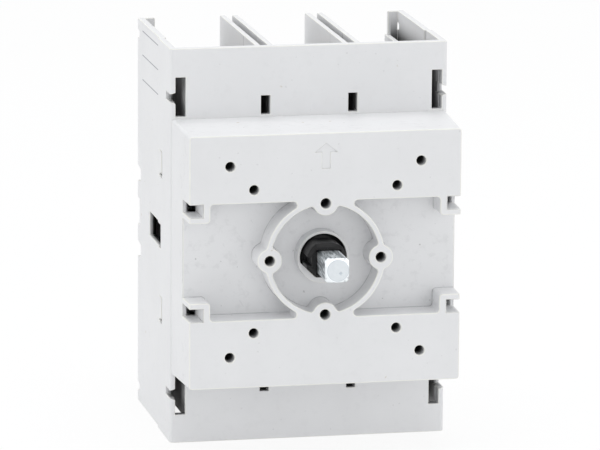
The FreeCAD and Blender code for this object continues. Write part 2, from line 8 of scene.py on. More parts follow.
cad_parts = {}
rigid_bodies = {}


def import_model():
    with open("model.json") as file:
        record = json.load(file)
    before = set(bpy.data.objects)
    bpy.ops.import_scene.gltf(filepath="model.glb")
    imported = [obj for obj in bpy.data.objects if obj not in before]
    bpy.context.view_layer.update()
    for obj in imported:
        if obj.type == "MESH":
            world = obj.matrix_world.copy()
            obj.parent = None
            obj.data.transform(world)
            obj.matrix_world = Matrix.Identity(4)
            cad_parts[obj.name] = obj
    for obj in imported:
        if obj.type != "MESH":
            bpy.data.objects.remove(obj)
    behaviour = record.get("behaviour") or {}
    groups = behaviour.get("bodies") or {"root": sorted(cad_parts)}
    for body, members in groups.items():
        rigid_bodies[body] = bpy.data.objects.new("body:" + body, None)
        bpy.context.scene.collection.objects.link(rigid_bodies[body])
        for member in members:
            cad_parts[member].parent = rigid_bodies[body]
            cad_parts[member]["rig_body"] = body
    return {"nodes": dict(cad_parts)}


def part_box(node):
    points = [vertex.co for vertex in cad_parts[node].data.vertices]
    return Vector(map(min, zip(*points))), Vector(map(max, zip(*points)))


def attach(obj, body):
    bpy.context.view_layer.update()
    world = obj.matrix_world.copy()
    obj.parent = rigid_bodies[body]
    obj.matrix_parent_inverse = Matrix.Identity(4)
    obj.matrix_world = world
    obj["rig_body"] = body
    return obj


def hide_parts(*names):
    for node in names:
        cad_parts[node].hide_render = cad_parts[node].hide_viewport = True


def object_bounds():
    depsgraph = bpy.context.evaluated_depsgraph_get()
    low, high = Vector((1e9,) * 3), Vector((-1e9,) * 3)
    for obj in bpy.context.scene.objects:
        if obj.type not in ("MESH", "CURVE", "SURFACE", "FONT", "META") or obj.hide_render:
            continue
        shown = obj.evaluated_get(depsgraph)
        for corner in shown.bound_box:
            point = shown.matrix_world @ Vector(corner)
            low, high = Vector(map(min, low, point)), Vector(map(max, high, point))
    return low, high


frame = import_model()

bl_info = {
    "name": "Electrical Disconnect Switch",
    "version": (1, 0, 0),
    "blender": (4, 5, 0),
    "location": "View3D > Sidebar > Switch",
    "description": "Dresses the parts of a three-pole disconnect switch and sets up its studio",
    "category": "Object",
}

MM = 0.001
OBJECT_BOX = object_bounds()
POLES = (1, 2, 3)
ENDS = ("line", "load")
SIDES = (-1, 1)

# Distances of the fixing holes from the shaft's middle lines.
SQUARES = (18 * MM, 24 * MM)
RING = 14 * MM

# Places of what the housing's finish draws, in metres from the shaft's axis and the mounting face.
BARRIER_GAP = 0.0111
SIDE_CHANNEL = 0.03255
RULED_HEIGHTS = (0.0353, 0.0416, 0.0478)

# Colours of marks, dust and deep shade, with full alpha.
SMUDGE = (0.45, 0.45, 0.46, 1.0)
SCUFF = (0.30, 0.30, 0.33, 1.0)
SPECK = (0.12, 0.11, 0.11, 1.0)
STAIN = (0.40, 0.32, 0.18, 1.0)
SHADE = (0.03, 0.03, 0.03, 1.0)
RULED_LINE = (0.16, 0.17, 0.21, 1.0)
PALE_DUST = (0.04, 0.039, 0.039, 1.0)
DRAW_MARK = (0.31, 0.35, 0.37, 1.0)
TURNED_END = (0.65, 0.69, 0.72, 1.0)
TOOL_MARK = (0.30, 0.36, 0.42, 1.0)
STRAW = (0.74, 0.72, 0.64, 1.0)
WHITE = (1.0, 1.0, 1.0, 1.0)


class MouldingSizes(bpy.types.PropertyGroup):
    """Edges and signs of the moulded housing."""

    edge: bpy.props.FloatProperty(
        name="Edge", description="Width of the soft edge on the housing's parts",
        default=0.00029, min=0.0, subtype="DISTANCE", unit="LENGTH")
    black_edge: bpy.props.FloatProperty(
        name="Black edge", description="Width of the soft edge on the black parts",
        default=0.00018, min=0.0, subtype="DISTANCE", unit="LENGTH")
    arrow_tip: bpy.props.FloatProperty(
        name="Arrow tip", description="Height of the arrow's tip above the shaft",
        default=0.0292, subtype="DISTANCE", unit="LENGTH")
    arrow_neck: bpy.props.FloatProperty(
        name="Arrow neck", description="Height where the arrow's head meets its stem",
        default=0.02695, subtype="DISTANCE", unit="LENGTH")
    arrow_foot: bpy.props.FloatProperty(
        name="Arrow foot", description="Height of the stem's lower end",
        default=0.02285, subtype="DISTANCE", unit="LENGTH")
    arrow_head_width: bpy.props.FloatProperty(
        name="Arrow head", description="Width of the arrow's head",
        default=0.0054, subtype="DISTANCE", unit="LENGTH")
    arrow_stem_width: bpy.props.FloatProperty(
        name="Arrow stem", description="Width of the arrow's stem",
        default=0.0021, subtype="DISTANCE", unit="LENGTH")
    arrow_depth: bpy.props.FloatProperty(
        name="Arrow depth", description="How deep the arrow is sunk into the cover",
        default=0.0002, subtype="DISTANCE", unit="LENGTH")
    pocket_front: bpy.props.FloatProperty(
        name="Pocket front", description="Distance of the side pockets behind the mounting face",
        default=0.0317, subtype="DISTANCE", unit="LENGTH")
    pocket_length: bpy.props.FloatProperty(
        name="Pocket length", description="Length of the side pockets from front to rear",
        default=0.0032, subtype="DISTANCE", unit="LENGTH")
    pocket_middle: bpy.props.FloatProperty(
        name="Pocket middle", description="Height of the side pockets above and below the shaft",
        default=0.0187, subtype="DISTANCE", unit="LENGTH")
    pocket_height: bpy.props.FloatProperty(
        name="Pocket height", description="Height of each side pocket",
        default=0.0068, subtype="DISTANCE", unit="LENGTH")
    pocket_depth: bpy.props.FloatProperty(
        name="Pocket depth", description="How deep the pockets are sunk into the side walls",
        default=0.0010, subtype="DISTANCE", unit="LENGTH")


class MetalSizes(bpy.types.PropertyGroup):
    """Edges, threads and recesses of the metal parts."""

    edge: bpy.props.FloatProperty(
        name="Edge", description="Width of the broken edge on stamped and turned parts",
        default=0.00015, min=0.0, subtype="DISTANCE", unit="LENGTH")
    pitch: bpy.props.FloatProperty(
        name="Thread pitch", description="Distance between the thread's crests",
        default=0.001, subtype="DISTANCE", unit="LENGTH")
    thread_radius: bpy.props.FloatProperty(
        name="Thread radius", description="Distance of the thread's crests from the screw's axis",
        default=0.003, subtype="DISTANCE", unit="LENGTH")
    thread_depth: bpy.props.FloatProperty(
        name="Thread depth", description="Height of the thread's crests over its roots",
        default=0.0005, subtype="DISTANCE", unit="LENGTH")
    head_length: bpy.props.FloatProperty(
        name="Head length", description="Length of a terminal screw's head",
        default=0.0048, subtype="DISTANCE", unit="LENGTH")
    tip_edge: bpy.props.FloatProperty(
        name="Tip edge", description="Width of the cone at a terminal screw's tip",
        default=0.0003, subtype="DISTANCE", unit="LENGTH")
    slot_width: bpy.props.FloatProperty(
        name="Slot width", description="Width of the screwdriver slot",
        default=0.0012, subtype="DISTANCE", unit="LENGTH")
    slot_depth: bpy.props.FloatProperty(
        name="Slot depth", description="Depth of the screwdriver slot",
        default=0.0018, subtype="DISTANCE", unit="LENGTH")


class FinishColours(bpy.types.PropertyGroup):
    """Base colours of the finishes."""

    housing: bpy.props.FloatVectorProperty(
        name="Housing", description="Light grey of the moulded housing",
        default=(0.775, 0.777, 0.785), size=3, min=0.0, max=1.0, subtype="COLOR")
    # Painted highlight on the housing's soft edges: lighter and warmer than the housing, palest in patches.
    worn: bpy.props.FloatVectorProperty(
        name="Worn edges", description="Warm grey of the housing's edges",
        default=(0.81, 0.81, 0.78), size=3, min=0.0, max=1.0, subtype="COLOR")
    highlit_pale: bpy.props.FloatVectorProperty(
        name="Palest edges", description="The same where the edges are worn most",
        default=(0.85, 0.845, 0.80), size=3, min=0.0, max=1.0, subtype="COLOR")
    black: bpy.props.FloatVectorProperty(
        name="Black parts", description="Black of the hub, rack and carrier",
        default=(0.009, 0.009, 0.0095), size=3, min=0.0, max=1.0, subtype="COLOR")
    zinc: bpy.props.FloatVectorProperty(
        name="Zinc", description="Bright zinc of the shaft, clamps and screws",
        default=(0.72, 0.75, 0.77), size=3, min=0.0, max=1.0, subtype="COLOR")
    steel: bpy.props.FloatVectorProperty(
        name="Spring steel", description="Grey of the springs",
        default=(0.33, 0.32, 0.31), size=3, min=0.0, max=1.0, subtype="COLOR")
    copper: bpy.props.FloatVectorProperty(
        name="Copper", description="Bare copper of the contacts",
        default=(0.80, 0.42, 0.27), size=3, min=0.0, max=1.0, subtype="COLOR")
    silver: bpy.props.FloatVectorProperty(
        name="Silver", description="Silvered ends of the contacts",
        default=(0.83, 0.81, 0.77), size=3, min=0.0, max=1.0, subtype="COLOR")


class StudioSizes(bpy.types.PropertyGroup):
    """Camera, lamps and floor."""

    lens: bpy.props.FloatProperty(
        name="Lens", description="Focal length of the camera in millimetres",
        default=330.0, min=1.0, subtype="NONE")
    floor_width: bpy.props.FloatProperty(
        name="Floor", description="Width of the floor",
        default=9.0, min=0.1, subtype="DISTANCE", unit="LENGTH")
    room_light: bpy.props.FloatProperty(
        name="Room light", description="Strength of the even light from all sides",
        default=0.67, min=0.0)
    top_light: bpy.props.FloatProperty(
        name="Top light", description="Power of the lamp overhead, in watts",
        default=7.2, min=0.0, unit="POWER")
    left_light: bpy.props.FloatProperty(
        name="Left light", description="Power of the lamp on the left, in watts",
        default=3.8, min=0.0, unit="POWER")
    right_light: bpy.props.FloatProperty(
        name="Right light", description="Power of the lamp on the right and in front, in watts",
        default=2.5, min=0.0, unit="POWER")
    front_light: bpy.props.FloatProperty(
        name="Front light", description="Power of the lamp beside the camera, in watts",
        default=2.5, min=0.0, unit="POWER")


class Field:
    """A number that changes over a surface: a node's output with the usual arithmetic."""

    def __init__(self, shader, socket):
        self.shader = shader
        self.socket = socket

    def join(self, operation, first, second):
        """The result of one Math node."""
        inputs = {0: first, 1: second}
        return self.shader.node("ShaderNodeMath", {"operation": operation}, inputs).field(0)

    def __add__(self, other):
        return self.join("ADD", self, other)

    def __radd__(self, other):
        return self.join("ADD", other, self)

    def __sub__(self, other):
        return self.join("SUBTRACT", self, other)

    def __rsub__(self, other):
        return self.join("SUBTRACT", other, self)

    def __mul__(self, other):
        return self.join("MULTIPLY", self, other)

    def __rmul__(self, other):
        return self.join("MULTIPLY", other, self)

    def __abs__(self):
        return self.shader.node("ShaderNodeMath", {"operation": "ABSOLUTE"}, {0: self}).field(0)

    def step(self, start, end):
        """0 where the number is at start, 1 where it is at end, with a soft change between."""
        values = {"Value": self, "From Min": start, "From Max": end}
        settings = {"interpolation_type": "SMOOTHSTEP"}
        return self.shader.node("ShaderNodeMapRange", settings, values).field("Result")

    def near(self, middle, reach, soft):
        """1 where the number is within reach of the middle, and 0 past a soft margin."""
        return abs(self - middle).step(reach + soft, reach)


class Node:
    """A shader node with its outputs ready to be used as fields."""

    def __init__(self, shader, node):
        self.shader = shader
        self.node = node

    def field(self, output):
        """One output as a field."""
        return Field(self.shader, self.node.outputs[output])


class Shader:
    """The nodes of a material or of the room's light, in the making."""

    def __init__(self, owner):
        owner.use_nodes = True
        self.tree = owner.node_tree
        self.tree.nodes.clear()

    def node(self, kind, settings, values):
        """Adds a node: its settings first, then the values or links of its sockets."""
        node = self.tree.nodes.new(kind)
        for name, value in settings.items():
            setattr(node, name, value)
        for name, value in values.items():
            if isinstance(value, Field):
                self.tree.links.new(value.socket, node.inputs[name])
            else:
                node.inputs[name].default_value = value
        return Node(self, node)

    def background_seen(self):
        """1 for what the camera, a reflection or glass shows, and 0 for the light on the object."""
        path = self.node("ShaderNodeLightPath", {}, {})
        return path.field("Is Camera Ray") + path.field("Is Glossy Ray") + path.field("Is Transmission Ray")


class Finish(Shader):
    """A procedural material in the making."""

    def __init__(self, name):
        self.material = bpy.data.materials.new(name)
        super().__init__(self.material)
        self.place = self.node("ShaderNodeTexCoord", {}, {}).field("Object")

    def noise(self, size, detail, roughness=0.5, place=None):
        """Cloudy noise with patches of about the given size in metres."""
        values = {"Vector": place or self.place, "Scale": 1.0 / size, "Detail": detail,
                  "Roughness": roughness}
        return self.node("ShaderNodeTexNoise", {}, values).field("Fac")

    def specks(self, spacing, core, rim):
        """Small ragged specks, of a radius given as a share of the distance between them."""
        ragged = self.node("ShaderNodeTexNoise", {}, {"Vector": self.place, "Scale": 1800.0, "Detail": 1.0})
        shift = self.node("ShaderNodeVectorMath", {"operation": "SCALE"},
                          {0: ragged.field("Color"), "Scale": 0.6 * MM}).field(0)
        place = self.node("ShaderNodeVectorMath", {"operation": "ADD"}, {0: self.place, 1: shift}).field(0)
        cells = self.node("ShaderNodeTexVoronoi", {}, {"Vector": place, "Scale": 1.0 / spacing})
        return cells.field("Distance").step(rim, core)

    def stretched(self, lengths, turn=(0.0, 0.0, 0.0)):
        """The place on the object for a pattern drawn out along its own axes, which may be turned."""
        values = {"Vector": self.place, "Rotation": turn, "Scale": lengths}
        return self.node("ShaderNodeMapping", {"vector_type": "TEXTURE"}, values).field("Vector")

    def axes(self):
        """The place on the object as three numbers, in metres."""
        parts = self.node("ShaderNodeSeparateXYZ", {}, {"Vector": self.place})
        return parts.field("X"), parts.field("Y"), parts.field("Z")

    def blend(self, share, low, high):
        """A colour between two colours."""
        settings = {"data_type": "RGBA", "clamp_factor": True}
        return self.node("ShaderNodeMix", settings, {0: share, 6: low, 7: high}).field(2)

    def bump(self, height, depth):
        """A surface with a relief of the given depth in metres."""
        values = {"Height": height, "Distance": depth, "Strength": 1.0}
        return self.node("ShaderNodeBump", {}, values).field("Normal")

    def close(self, settings):
        """Joins the surface to the output and returns the material."""
        surface = self.node("ShaderNodeBsdfPrincipled", {}, settings).field("BSDF")
        self.node("ShaderNodeOutputMaterial", {}, {"Surface": surface})
        return self.material


def tint(colour, factor):
    """A colour made lighter or darker, with full alpha."""
    return tuple(min(1.0, c * factor) for c in colour) + (1.0,)


def moulded_skin(finish, tone, roughness, spread):
    """Closes a finish of the housing's edges, corners or holes with the moulding's fine grain."""
    grain = finish.noise(0.00022, 2.0, 0.6)
    return finish.close({"Base Color": tone, "Roughness": roughness + spread * grain, "IOR": 1.46,
                         "Normal": finish.bump(grain, 0.000012)})


def moulded_grey(colours):
    """Light grey thermoset: fine eroded grain, faint clouds, scattered dark specks and a few scuffs.

    Marks are stronger in the cover's recesses. The slots in the front plate and the gaps behind them
    lie in deep shade, and three thin lines are ruled on the left side.
    """
    finish = Finish("moulded_grey")
    x, y, z = finish.axes()
    sunk = y.step(0.001, 0.004) * (1 - y.step(0.009, 0.012))
    gaps = abs(x).near(BARRIER_GAP, 0.0012, 0.0001) * y.step(0.0207, 0.0232)
    channels = abs(x).near(SIDE_CHANNEL, 0.0013, 0.0001) * y.step(0.0209, 0.0290)
    shade = (gaps + channels) * abs(z).step(0.049, 0.042)
    low, middle, high = [z.near(height, 0.00010, 0.00008) for height in RULED_HEIGHTS]
    left_side = x.step(-0.0345, -0.0348)
    ruled = (low + middle + high) * left_side * y.near(0.0493, 0.0119, 0.0003)
    clouds = finish.noise(0.014, 3.0)
    grain = finish.noise(0.00022, 2.0, 0.6)
    drawn = finish.stretched((3.0, 1.0, 1.0), (0.0, math.radians(52), 0.0))
    scuffs = finish.noise(0.0008, 3.0, 0.6, drawn).step(0.66, 0.76)
    smudges = finish.noise(0.0022, 4.0, 0.6).step(0.52, 0.72)
    specks = finish.specks(0.0034, 0.04, 0.08)
    stains = finish.specks(0.0081, 0.03, 0.06)
    tone = finish.blend(clouds.step(0.3, 0.7), tint(colours.housing, 0.985), tint(colours.housing, 1.012))
    tone = finish.blend(grain.step(0.2, 0.8) * 0.35, tone, tint(colours.housing, 0.97))
    for share, colour in ((smudges * (0.05 + 0.12 * sunk), SMUDGE), (scuffs * (0.03 + 0.10 * sunk), SCUFF),
                          (specks * (0.12 + 0.22 * sunk), SPECK), (stains * 0.4, STAIN),
                          (shade * 0.9, SHADE), (ruled * 0.75, RULED_LINE)):
        tone = finish.blend(share, tone, colour)
    normal = finish.bump(grain + 0.4 * finish.noise(0.0009, 2.0), 0.000018)
    return finish.close({"Base Color": tone, "Roughness": 0.50 + 0.14 * grain - 0.06 * clouds,
                         "IOR": 1.46, "Normal": normal})


def moulded_edge_highlight(colours):
    """The housing's soft edges with a painted highlight: the same grain, a little lighter and warmer."""
    finish = Finish("moulded_edge_highlight")
    worn = finish.noise(0.0035, 2.0).step(0.3, 0.7)
    tone = finish.blend(worn, tint(colours.worn, 1.0), tint(colours.highlit_pale, 1.0))
    return moulded_skin(finish, tone, 0.46, 0.12)


def moulded_corner_shade(colours):
    """The housing's inner corners, in painted shade that is darker in patches."""
    finish = Finish("moulded_corner_shade")
    # Painted shade along the filled inner corners.
    shade_patches = finish.noise(0.004, 3.0).step(0.35, 0.6)
    tone = finish.blend(shade_patches, tint(colours.housing, 0.90), tint(colours.housing, 0.68))
    return moulded_skin(finish, tone, 0.60, 0.15)


def moulded_hole_shade(colours):
    """The walls of the fixing holes, rougher where the screws have rubbed them, and darker with depth in
    painted shade.
    """
    finish = Finish("moulded_hole_shade")
    depth = finish.axes()[1]
    # Painted shade: the walls go from light grey near the face to nearly black deep in the hole.
    tone = finish.blend(depth.step(0.0004, 0.0045), tint(colours.housing, 0.90), tint(colours.housing, 0.10))
    return moulded_skin(finish, tone, 0.60, 0.15)


def satin_black(colours):
    """Black moulded plastic with a satin skin, pale dust in places and fine rubbed lines."""
    finish = Finish("satin_black")
    grain = finish.noise(0.00016, 2.0, 0.6)
    dust = finish.noise(0.0016, 3.0).step(0.55, 0.75)
    rubbed = finish.noise(0.0004, 2.0, 0.5, finish.stretched((1.0, 8.0, 1.0))).step(0.6, 0.8)
    tone = finish.blend(dust * 0.25 + rubbed * 0.25, tint(colours.black, 1.0), PALE_DUST)
    normal = finish.bump(grain + 0.5 * rubbed, 0.00001)
    return finish.close({"Base Color": tone, "Roughness": 0.34 + 0.18 * grain + 0.10 * dust,
                         "IOR": 1.5, "Specular IOR Level": 0.2, "Normal": normal})


def drawn_zinc(colours):
    """Bright zinc over drawn steel, with slanted draw marks on the sides.

    The end has a small dent, and rings turned round a point a little beside the shaft's axis.
    """
    finish = Finish("drawn_zinc")
    x, y, z = finish.axes()
    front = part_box("drive_shaft")[0].y
    end = y.step(front + 0.00085, front + 0.00055)
    across = finish.stretched((1.0, 9.0, 1.0), (math.radians(5), 0.0, math.radians(-5)))
    slanted = finish.noise(0.0006, 3.0, 0.55, across)
    clouds = finish.noise(0.0014, 3.0)
    aside = finish.node("ShaderNodeCombineXYZ", {}, {"X": x - 0.0002, "Z": z}).field(0)
    radius = finish.node("ShaderNodeVectorMath", {"operation": "LENGTH"}, {0: aside}).field("Value")
    rings = finish.noise(0.00009, 2.0, 0.5, finish.node("ShaderNodeCombineXYZ", {}, {"X": radius}).field(0))
    turned = end * radius.step(0.00275, 0.00268)
    line = end * radius.near(0.00267, 0.00003, 0.00006)
    ragged = 0.0006 * (finish.noise(0.0003, 1.0) - 0.5)
    dent = end * (abs(x - 0.0009) + abs(z + 0.0007) + ragged).step(0.0007, 0.0003)
    tone = finish.blend((slanted.step(0.38, 0.62) * 0.85 + clouds * 0.15) * (1 - end) + end,
                        DRAW_MARK, tint(colours.zinc, 1.3))
    tone = finish.blend(turned * (0.35 + 0.4 * rings + 0.5 * clouds), tone, TURNED_END)
    tone = finish.blend((line + dent) * 0.45, tone, TOOL_MARK)
    normal = finish.bump(slanted * (1 - end) + 0.15 * rings * turned - 0.6 * dent, 0.00003)
    return finish.close({"Base Color": tone, "Metallic": 1.0,
                         "Roughness": 0.27 + 0.20 * slanted * (1 - end) + 0.06 * clouds, "Normal": normal})


def zinc_plate(colours):
    """Zinc on stamped and turned steel, a little cloudy, with a faint straw passivation."""
    finish = Finish("zinc_plate")
    clouds = finish.noise(0.003, 4.0)
    marks = finish.noise(0.00025, 3.0, 0.6, finish.stretched((1.0, 4.0, 1.0)))
    tone = finish.blend(clouds.step(0.35, 0.7), tint(colours.zinc, 0.86), STRAW)
    tone = finish.blend(marks.step(0.4, 0.8) * 0.3, tone, tint(colours.zinc, 0.6))
    return finish.close({"Base Color": tone, "Metallic": 1.0,
                         "Roughness": 0.30 + 0.16 * clouds + 0.10 * marks,
                         "Normal": finish.bump(marks, 0.00001)})


def spring_steel(colours):
    """Dark rolled spring steel with a thin oil film."""
    finish = Finish("spring_steel")
    clouds = finish.noise(0.002, 3.0)
    rolled = finish.noise(0.0002, 2.0, 0.5, finish.stretched((1.0, 1.0, 7.0)))
    tone = finish.blend(clouds * 0.6 + rolled * 0.4, tint(colours.steel, 0.7), tint(colours.steel, 1.25))
    return finish.close({"Base Color": tone, "Metallic": 1.0, "Roughness": 0.26 + 0.18 * clouds,
                         "Normal": finish.bump(rolled, 0.000006)})


def contact_copper(colours):
    """Stamped copper that darkens in clouds, silvered where the blades and the fixed contacts meet."""
    finish = Finish("contact_copper")
    silvered = abs(finish.axes()[2]).step(0.0152, 0.0148)
    clouds = finish.noise(0.004, 4.0)
    rolled = finish.noise(0.0002, 2.0, 0.5, finish.stretched((1.0, 1.0, 8.0)))
    bare = finish.blend(clouds.step(0.35, 0.75), tint(colours.copper, 1.0), tint(colours.copper, 0.62))
    tone = finish.blend(silvered, bare, tint(colours.silver, 0.96))
    return finish.close({"Base Color": tone, "Metallic": 1.0,
                         "Roughness": 0.30 + 0.15 * clouds + 0.08 * rolled,
                         "Normal": finish.bump(rolled, 0.000006)})


def finish_of(name):
    """The material of that name, made when it is first asked for."""
    makers = (moulded_grey, moulded_edge_highlight, moulded_corner_shade, moulded_hole_shade, satin_black, drawn_zinc,
              zinc_plate, spring_steel, contact_copper)
    make = {maker.__name__: maker for maker in makers}[name]
    return bpy.data.materials.get(name) or make(bpy.context.scene.switch_colours)


def merged_copy(node, columns=(), rows=()):
    """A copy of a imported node's mesh with its loose triangles joined and its flat faces made whole.

    Columns and rows are the distances of the lines through the holes' centres, to the right and upwards
    of the shaft. The faces stay divided there, which keeps each of them free of holes.
    """
    bm = bmesh.new()
    bm.from_mesh(frame["nodes"][node].data)
    bmesh.ops.remove_doubles(bm, verts=bm.verts, dist=0.000002)
    places = [(Vector((x, 0.0, 0.0)), Vector((1.0, 0.0, 0.0))) for x in columns]
    places += [(Vector((0.0, 0.0, z)), Vector((0.0, 0.0, 1.0))) for z in rows]
    for place, normal in places:
        cut = bmesh.ops.bisect_plane(bm, geom=bm.verts[:] + bm.edges[:] + bm.faces[:], dist=0.00001,
                                     plane_co=place, plane_no=normal)
        for part in cut["geom_cut"]:
            if isinstance(part, bmesh.types.BMEdge):
                part.seam = True
    bmesh.ops.dissolve_limit(bm, angle_limit=math.radians(0.4), use_dissolve_boundaries=False,
                             verts=bm.verts, edges=bm.edges, delimit={"SEAM"})
    return bm


def as_object(bm, name):
    """The mesh in the making as an object of the scene."""
    mesh = bpy.data.meshes.new(name)
    bm.to_mesh(mesh)
    bm.free()
    piece = bpy.data.objects.new(name, mesh)
    bpy.context.scene.collection.objects.link(piece)
    return piece


def apply_modifiers(piece):
    """Makes the result of the piece's modifiers its own mesh."""
    bpy.context.view_layer.update()
    shape = bpy.data.meshes.new_from_object(piece.evaluated_get(bpy.context.evaluated_depsgraph_get()))
    piece.modifiers.clear()
    old, piece.data = piece.data, shape
    bpy.data.meshes.remove(old)


def cut_away(piece, cutter):
    """Takes the cutter's shape out of a piece, and removes the cutter."""
    cut = piece.modifiers.new("cut", "BOOLEAN")
    cut.operation = "DIFFERENCE"
    cut.solver = "EXACT"
    cut.object = cutter
    apply_modifiers(piece)
    bpy.data.objects.remove(cutter)


def nowhere(point):
    """No point of a piece."""
    return False


def soften(piece, width, segments=2, fine=nowhere, sharp=nowhere):
    """Breaks the outer edges and fills the inner corners by half as much, and keeps flat faces flat.

    Edges are broken less where fine says so, and not at all where sharp says so. Broken edges take
    the second material and filled corners the third, where the piece already has them.
    """
    bm = bmesh.new()
    bm.from_mesh(piece.data)
    share = bm.edges.layers.float.new("bevel_weight_edge")
    for edge in bm.edges:
        # The bend is negative in an inner corner. Round walls bend less than the limit and stay as they are.
        bend = edge.calc_face_angle_signed(0.0)
        if abs(bend) > math.radians(32) and not all(sharp(vert.co) for vert in edge.verts):
            small = all(fine(vert.co) for vert in edge.verts)
            edge[share] = (0.5 if bend < 0.0 else 1.0) * (0.4 if small else 1.0)
    bm.to_mesh(piece.data)
    bm.free()
    piece.data.shade_smooth()
    bevel = piece.modifiers.new("edges", "BEVEL")
    bevel.width = width
    bevel.segments = segments
    bevel.limit_method = "WEIGHT"
    bevel.material = 1
    bevel.use_clamp_overlap = False
    apply_modifiers(piece)
    bm = bmesh.new()
    bm.from_mesh(piece.data)
    for face in bm.faces:
        if face.material_index == 1 and sum(edge.calc_face_angle_signed(0.0) for edge in face.edges) < 0.0:
            face.material_index = 2
    bm.to_mesh(piece.data)
    bm.free()
    piece.modifiers.new("flat faces", "WEIGHTED_NORMAL").keep_sharp = True


def dress(piece, node, slot, *finishes):
    """Gives a piece its finishes, and lets it stand for its node on the node's body."""
    piece.data.materials.clear()
    for name in finishes:
        piece.data.materials.append(finish_of(name))
    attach(piece, frame["nodes"][node]["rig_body"])
    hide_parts(node)


def repaint(node, finish):
    """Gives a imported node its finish."""
    mesh = frame["nodes"][node].data
    mesh.materials.clear()
    mesh.materials.append(finish_of(finish))


def prism(corners, back, name):
    """A solid with a flat outline in the front plane, pushed towards the rear."""
    bm = bmesh.new()
    face = bm.faces.new([bm.verts.new(corner) for corner in corners])
    walls = bmesh.ops.extrude_face_region(bm, geom=[face])["geom"]
    bmesh.ops.translate(bm, verts=[part for part in walls if isinstance(part, bmesh.types.BMVert)],
                        vec=Vector((0.0, back, 0.0)))
    bmesh.ops.recalc_face_normals(bm, faces=bm.faces)
    return as_object(bm, name)


def arrow_cutter(sizes):
    """The sunk arrow's shape, standing a little in front of the cover's face."""
    head, stem = sizes.arrow_head_width / 2, sizes.arrow_stem_width / 2
    half = [(head, sizes.arrow_neck), (stem, sizes.arrow_neck), (stem, sizes.arrow_foot)]
    outline = [(0.0, sizes.arrow_tip)] + half + [(-x, z) for x, z in reversed(half)]
    return prism([Vector((x, -MM, z)) for x, z in outline], MM + sizes.arrow_depth, "arrow_cutter")


def pocket_cutters(sizes):
    """The shapes of the four pockets in the side walls, in front of the teeth of the body's rear half."""
    wall = OBJECT_BOX[1][0]
    for side in SIDES:
        for way in SIDES:
            floor, outside = side * (wall - sizes.pocket_depth), side * (wall + MM)
            low, high = [way * sizes.pocket_middle + end * sizes.pocket_height / 2 for end in SIDES]
            corners = [(floor, low), (outside, low), (outside, high), (floor, high)]
            yield prism([Vector((x, sizes.pocket_front, z)) for x, z in corners], sizes.pocket_length,
                        "pocket_cutter")


class OBJECT_OT_switch_cover(bpy.types.Operator):
    """Makes the front cover with its soft edges and the sunk arrow"""

    bl_idname = "object.switch_cover"
    bl_label = "Front Cover"

    def execute(self, context):
        sizes = context.scene.switch_moulding
        holes = [(x * distance, z * distance) for distance in SQUARES for x in SIDES for z in SIDES]
        holes += [(RING, 0.0), (-RING, 0.0), (0.0, RING), (0.0, -RING)]

        def near_collar_or_arrow(point):
            """By the fine details of the face, whose edges are broken less."""
            by_arrow = sizes.arrow_foot - MM < point.z < sizes.arrow_tip + MM
            by_arrow = by_arrow and abs(point.x) < sizes.arrow_head_width
            return by_arrow or math.hypot(point.x, point.z) < 7.5 * MM

        def inside(point):
            """Behind the cover's face and within its walls, where no edge shows."""
            return point.y > 8.6 * MM and abs(point.x) < 33.6 * MM and abs(point.z) < 31.4 * MM

        def in_hole(place):
            """On the wall or the floor of a fixing hole."""
            return place.y > 0.05 * MM and any(
                math.hypot(place.x - x, place.z - z) < 1.6 * MM for x, z in holes)

        lines = [side * distance for side in SIDES for distance in SQUARES] + [0.0]
        cover = as_object(merged_copy("front_cover", lines, lines), "cover_moulding")
        cut_away(cover, arrow_cutter(sizes))
        # The finishes go on first, so that the broken edges can take their painted highlight and the corners
        # their painted shade.
        dress(cover, "front_cover", "housing",
              "moulded_grey", "moulded_edge_highlight", "moulded_corner_shade", "moulded_hole_shade")
        soften(cover, sizes.edge, 3, near_collar_or_arrow, inside)
        # The walls and floors of the fixing holes take the painted shade.
        for face in cover.data.polygons:
            if face.material_index == 0 and in_hole(face.center):
                face.material_index = 3
        return {"FINISHED"}


class OBJECT_OT_switch_body(bpy.types.Operator):
    """Makes the two halves of the body and the rear plate with their soft edges"""

    bl_idname = "object.switch_body"
    bl_label = "Body"

    def execute(self, context):
        sizes = context.scene.switch_moulding
        poles = [sum(corner.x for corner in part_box(f"line_cage_{pole}")) / 2 for pole in POLES]

        def inside(point):
            """Behind the front plate and within the outer walls, where no edge shows."""
            walled = abs(point.x) < 33.6 * MM and abs(point.z) < 48.0 * MM
            return walled and 22.6 * MM < point.y < 66.0 * MM

        for node, name in (("contact_housing", "housing_moulding"), ("terminal_base", "base_moulding"),
                           ("rear_plate", "rear_plate_moulding")):
            part = as_object(merged_copy(node, poles, [0.0]), name)
            if node != "rear_plate":
                for cutter in pocket_cutters(sizes):
                    cut_away(part, cutter)
            dress(part, node, "housing", "moulded_grey", "moulded_edge_highlight", "moulded_corner_shade")
            soften(part, sizes.edge * 0.7, sharp=inside)
        return {"FINISHED"}


class OBJECT_OT_switch_hub(bpy.types.Operator):
    """Makes the black hub that holds the shaft"""

    bl_idname = "object.switch_hub"
    bl_label = "Hub"

    def execute(self, context):
        hub = as_object(merged_copy("drive_hub", [0.0], [0.0]), "hub_moulding")
        soften(hub, context.scene.switch_moulding.black_edge, sharp=lambda point: point.y > 0.0)
        dress(hub, "drive_hub", "black_plastic", "satin_black")
        return {"FINISHED"}


class OBJECT_OT_switch_shaft(bpy.types.Operator):
    """Makes the plated square shaft"""

    bl_idname = "object.switch_shaft"
    bl_label = "Shaft"

    def execute(self, context):
        shaft = as_object(merged_copy("drive_shaft"), "shaft_bar")
        soften(shaft, context.scene.switch_metal.edge)
        dress(shaft, "drive_shaft", "zinc_steel", "drawn_zinc")
        return {"FINISHED"}


